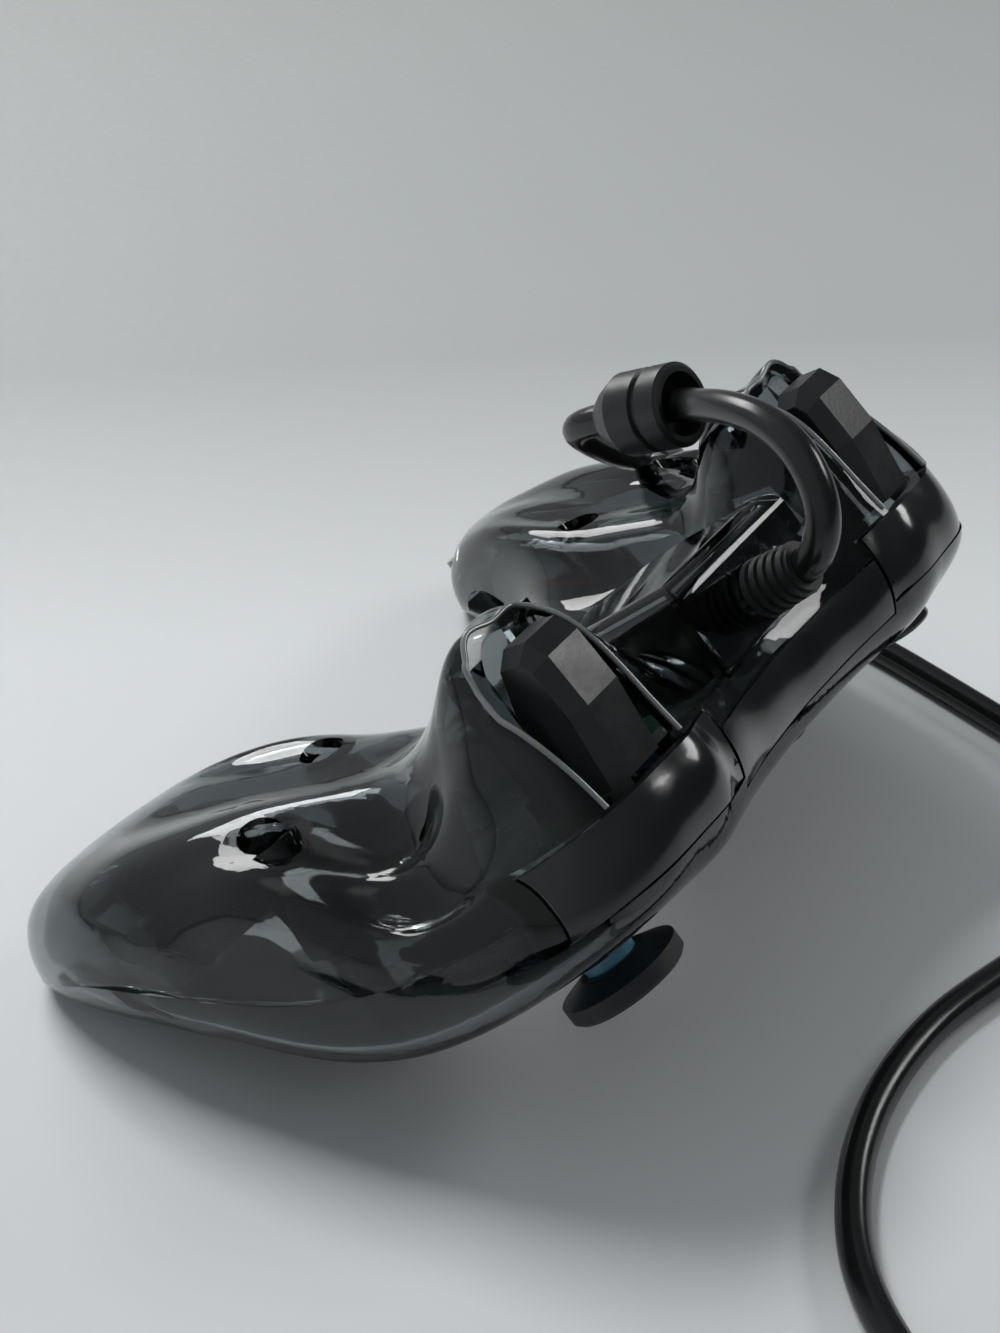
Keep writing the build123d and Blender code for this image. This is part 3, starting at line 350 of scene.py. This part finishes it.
def board_material():
    """Green board with a web of lighter tracks and small pads."""
    m, tree, shader = new_material("board_green")
    where = coords(tree)
    tracks = tree.nodes.new("ShaderNodeTexBrick")
    tracks.inputs["Scale"].default_value = 150.0
    tracks.inputs["Mortar Size"].default_value = 0.03
    tracks.inputs["Brick Width"].default_value = 0.8
    tracks.inputs["Row Height"].default_value = 0.35
    tracks.inputs["Color1"].default_value = (0.006, 0.045, 0.022, 1)
    tracks.inputs["Color2"].default_value = (0.008, 0.060, 0.030, 1)
    tracks.inputs["Mortar"].default_value = (0.030, 0.130, 0.070, 1)
    tree.links.new(where, tracks.inputs["Vector"])
    cells = tree.nodes.new("ShaderNodeTexVoronoi")
    cells.inputs["Scale"].default_value = 420.0
    tree.links.new(where, cells.inputs["Vector"])
    dots = spread(tree, cells.outputs["Distance"], 1.0, 0.0, 0.10, 0.16)
    mix = tree.nodes.new("ShaderNodeMix")
    mix.data_type = "RGBA"
    tree.links.new(dots, mix.inputs["Factor"])
    tree.links.new(tracks.outputs["Color"], mix.inputs["A"])
    mix.inputs["B"].default_value = (0.45, 0.42, 0.34, 1)
    tree.links.new(mix.outputs["Result"], shader.inputs["Base Color"])
    stains = noise(tree, where, 120.0, 4.0, 0.6)
    tree.links.new(spread(tree, stains, 0.25, 0.42), shader.inputs["Roughness"])
    bump(tree, tracks.outputs["Fac"], shader, 0.3, 0.00005)
    m.diffuse_color = (0.02, 0.12, 0.06, 1.0)
    return m


board_green = board_material()


def dress(material, *names):
    for name in names:
        data = nodes[name].data
        data.materials.clear()
        data.materials.append(material)


dress(smoke_face, "front_shell")
dress(smoke, "back_shell")
dress(black_gloss, "front_panel", "left_bumper", "right_bumper")
dress(black_satin, "left_trigger", "right_trigger")
dress(steel, "bumper_pins", "trigger_pins", "left_trigger_spring", "right_trigger_spring",
      "shell_screws", "plug_shell")
dress(dull_steel, "left_motor", "right_motor", "left_motor_weight", "right_motor_weight")
dress(grey_plastic, "trigger_sensors", "left_stick_module", "right_stick_module", "left_stick_yoke",
      "right_stick_yoke", "left_stick_post", "right_stick_post", "bumper_switches", "dpad_plate")
dress(liner_black, "left_liner", "right_liner", "left_motor_cradle", "right_motor_cradle",
      "cord_clamp", "main_chip")
dress(pad_rubber, "abxy_pad", "centre_pad", "dpad_pad")
dress(button_gloss, "button_a", "button_b", "button_x", "button_y", "button_back", "button_start",
      "button_guide", "dpad")
dress(board_green, "main_board")
dress(brown_can, "capacitors")
dress(light_clear, "status_lights")
dress(wire_red, "motor_wires")
dress(blue_plastic, "left_stick_dome", "right_stick_dome")
dress(cap_rubber, "left_stick_cap", "right_stick_cap")
dress(bead_rubber, "cord_bead", "cord_gland", "plug_body")
dress(tie_black, "cord_tie")
dress(black_satin, "plug_tongue")
arch.data.materials.append(cord_rubber)
lead.data.materials.append(cord_rubber)


# Dark inner frames that follow the back shell's inside, and the rims of the triggers' hoods
def rail(points, t):
    """A smooth line through the points, at t from 0 to 1."""
    at = t * (len(points) - 1)
    i = min(int(at), len(points) - 2)
    f = at - i
    p0, p1 = points[max(i - 1, 0)], points[i]
    p2, p3 = points[i + 1], points[min(i + 2, len(points) - 1)]
    return [0.5 * (2 * b + (c - a) * f + (2 * a - 5 * b + 4 * c - d) * f * f
                   + (3 * b - a - 3 * c + d) * f ** 3)
            for a, b, c, d in zip(p0, p1, p2, p3)]


# Places and heights in the pad's own frame, in millimetres
SEAM = [(-78, -36.5), (-60, -35.5), (-46, -33), (-30, -26.5),
        (-10, -16.5), (8, -11.5), (25, -10.5), (47, -12)]
FRAME_UPPER = [(54, -37), (50, -32), (49, -26), (51, -19), (54, -8), (53, 3), (48, 13), (45, 22)]
FRAME_LOWER = [(63, -41), (68, -38), (71.5, -31), (72.0, -22),
               (70.5, -12), (67.5, 0), (64.5, 12), (59, 22)]
FRAME_OFF_SHELL, FRAME_THICK = 1.0, 0.0006
RIB_HEIGHT, RIB_PITCH, RIBS_FROM = 0.25, 2.1, 0.35
BELOW_ALL = -70
RIM_INNER, RIM_OUTER, RIM_REAR, RIM_FRONT = 32.95, 50.85, 32.5, 45.0
RIM_TURN, RIM_RADIUS = 2.2, 0.00045


def seam_height(y):
    for (y0, z0), (y1, z1) in zip(SEAM, SEAM[1:]):
        if y <= y1:
            return z0 + (z1 - z0) * (y - y0) / (y1 - y0)
    return SEAM[-1][1]


def back_shell_probe():
    """The back shell's faces, to cast rays at, and the way from its back to its inside."""
    shell = nodes["back_shell"].data
    tree = BVHTree.FromPolygons([v.co for v in shell.vertices],
                                [p.vertices for p in shell.polygons])
    return tree, (on_table((0, 0, 1)) - on_table((0, 0, 0))).normalized()


def inner_frame(name, side, material):
    """A dark ribbed sheet just inside the back shell, between the two rails of its frame."""
    tree, inward = back_shell_probe()
    long_steps, short_steps = 64, 30
    points, faces = [], []
    for i in range(long_steps + 1):
        upper = rail(FRAME_UPPER, i / long_steps)
        lower = rail(FRAME_LOWER, i / long_steps)
        for j in range(short_steps + 1):
            f = j / short_steps
            x = upper[0] + (lower[0] - upper[0]) * f
            y = upper[1] + (lower[1] - upper[1]) * f
            start = on_table((side * x, y, seam_height(y) + 1.0))
            hit, normal, face, reach = tree.ray_cast(start, -inward)
            if hit is None:
                hit, normal = start, inward
            if normal.dot(inward) < 0:
                normal = -normal
            rib = RIB_HEIGHT * math.sin(y * RIB_PITCH) if j > short_steps * RIBS_FROM else 0.0
            points.append(hit + normal * (FRAME_OFF_SHELL + rib) / 1000)
    row = short_steps + 1
    for i in range(long_steps):
        for j in range(short_steps):
            a = i * row + j
            quad = (a, a + 1, a + row + 1, a + row)
            faces.append(quad if side > 0 else quad[::-1])
    data = bpy.data.meshes.new(name)
    data.from_pydata([tuple(p) for p in points], [], faces)
    obj = bpy.data.objects.new(name, data)
    scene.collection.objects.link(obj)
    for p in data.polygons:
        p.use_smooth = True
    relax = obj.modifiers.new("relax", "SMOOTH")
    relax.iterations = 6
    thick = obj.modifiers.new("thick", "SOLIDIFY")
    thick.thickness = FRAME_THICK
    thick.offset = 0.0
    data.materials.append(material)
    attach(obj, "shells")
    return obj


def hood_rim(name, side):
    """The rounded clear edge of a trigger's hood, laid on the back shell's outside."""
    tree, inward = back_shell_probe()
    inner, outer, rear, front, turn_in = RIM_INNER, RIM_OUTER, RIM_REAR, RIM_FRONT, RIM_TURN
    quarter = [math.pi / 2 * i / 6 for i in range(7)]
    route = [(inner, front + (rear + turn_in - front) * i / 12) for i in range(12)]
    route += [(inner + turn_in - turn_in * math.cos(a), rear + turn_in - turn_in * math.sin(a))
              for a in quarter]
    route += [(inner + turn_in + (outer - inner - 2 * turn_in) * i / 16, rear)
              for i in range(1, 17)]
    route += [(outer - turn_in + turn_in * math.sin(a), rear + turn_in - turn_in * math.cos(a))
              for a in quarter[1:]]
    route += [(outer, rear + turn_in + (front - rear - turn_in) * i / 12) for i in range(1, 13)]
    points = []
    for x, y in route:
        hit, normal, face, reach = tree.ray_cast(on_table((side * x, y, BELOW_ALL)), inward)
        if hit is not None:
            points.append(hit)
    obj = cord_curve(name, points, RIM_RADIUS)
    obj.data.materials.append(rim_clear)
    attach(obj, "shells")
    return obj


hood_rim("left_hood_rim", -1)
hood_rim("right_hood_rim", 1)
left_frame = inner_frame("left_inner_frame", -1, liner_black)
right_frame = inner_frame("right_inner_frame", 1, liner_black)
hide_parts("left_liner")
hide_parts("right_liner")


# The cords, declared with what they carry
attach(arch, "shells")
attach(lead, "shells")
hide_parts("cord_arch")
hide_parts("cord_run", "cord_coil", "cord_tail")


# Floor, surroundings and lamps
def along(tree, where, direction):
    """How far a place or a ray reaches along a direction."""
    reach = tree.nodes.new("ShaderNodeVectorMath")
    reach.operation = "DOT_PRODUCT"
    reach.inputs[1].default_value = direction
    tree.links.new(where, reach.inputs[0])
    return reach.outputs["Value"]


def floor_material():
    """Pale near the part and greyer behind it, as the backdrop is: the grey behind is painted
    shade.
    """
    m, tree, shader = new_material("pale_floor")
    where = coords(tree)
    cloud = noise(tree, where, 3.0, 4.0, 0.5)
    # Painted shade: the floor's colour darkens towards the far side, away from the part
    far = spread(tree, along(tree, where, (0.83, 0.56, 0.0)), 0.0, 1.0, 0.0, 1.1)
    pale_and_painted_shade = ramp(tree, far, [
        (0.0, (0.66, 0.675, 0.685)), (0.06, (0.62, 0.64, 0.645)), (0.17, (0.38, 0.395, 0.395)),
        (0.40, (0.345, 0.36, 0.355)), (1.0, (0.30, 0.31, 0.31))])
    haze = ramp(tree, cloud, [(0.3, (0.95, 0.955, 0.96)), (0.7, (1.0, 1.0, 1.0))])
    tree.links.new(multiplied(tree, pale_and_painted_shade, haze), shader.inputs["Base Color"])
    grains = noise(tree, where, 300.0, 4.0, 0.6)
    tree.links.new(spread(tree, grains, 0.55, 0.70), shader.inputs["Roughness"])
    shader.inputs["Specular IOR Level"].default_value = 0.3
    return m


FLOOR_HALF = 3
mesh = bpy.data.meshes.new("floor")
mesh.from_pydata([(-FLOOR_HALF, -FLOOR_HALF, 0), (FLOOR_HALF, -FLOOR_HALF, 0),
                  (FLOOR_HALF, FLOOR_HALF, 0), (-FLOOR_HALF, FLOOR_HALF, 0)], [], [(0, 1, 2, 3)])
floor = bpy.data.objects.new("floor", mesh)
scene.collection.objects.link(floor)
floor.data.materials.append(floor_material())

# The surroundings are bright on the camera's left and dark on its right
world = bpy.data.worlds.new("world")
scene.world = world
world.use_nodes = True
tree = world.node_tree
sky = tree.nodes["Background"]
sky.inputs["Strength"].default_value = 0.42
looks = tree.nodes.new("ShaderNodeTexCoord").outputs["Generated"]
facing = spread(tree, along(tree, looks, (-0.72, 0.69, 0.0)), 0.0, 1.0, -1.0, 1.0)
tree.links.new(ramp(tree, facing, [
    (0.0, (0.10, 0.11, 0.12)), (0.35, (0.35, 0.37, 0.38)),
    (0.62, (0.80, 0.83, 0.85)), (1.0, (0.95, 0.97, 1.0))]), sky.inputs["Color"])

LIT_PLACE = Vector((0, 0, 0.03))


def soft_light(name, place, width, height, power):
    data = bpy.data.lights.new(name, "AREA")
    data.shape = "RECTANGLE"
    data.size = width
    data.size_y = height
    data.energy = power
    obj = bpy.data.objects.new(name, data)
    scene.collection.objects.link(obj)
    obj.location = place
    obj.rotation_mode = "QUATERNION"
    obj.rotation_quaternion = (LIT_PLACE - Vector(place)).to_track_quat("-Z", "Y")
    return obj


# The key lamp has no mirror image of its own, because the clear shells would show it many times
soft_light("key", (0.05, 0.45, 0.95), 0.50, 0.30, power=7.4).visible_glossy = False
soft_light("fill", (0.75, -0.55, 0.65), 0.5, 0.25, power=2.8)
soft_light("back", (0.45, 0.85, 0.45), 0.5, 0.25, power=2.6)

scene.view_settings.view_transform = "Standard"
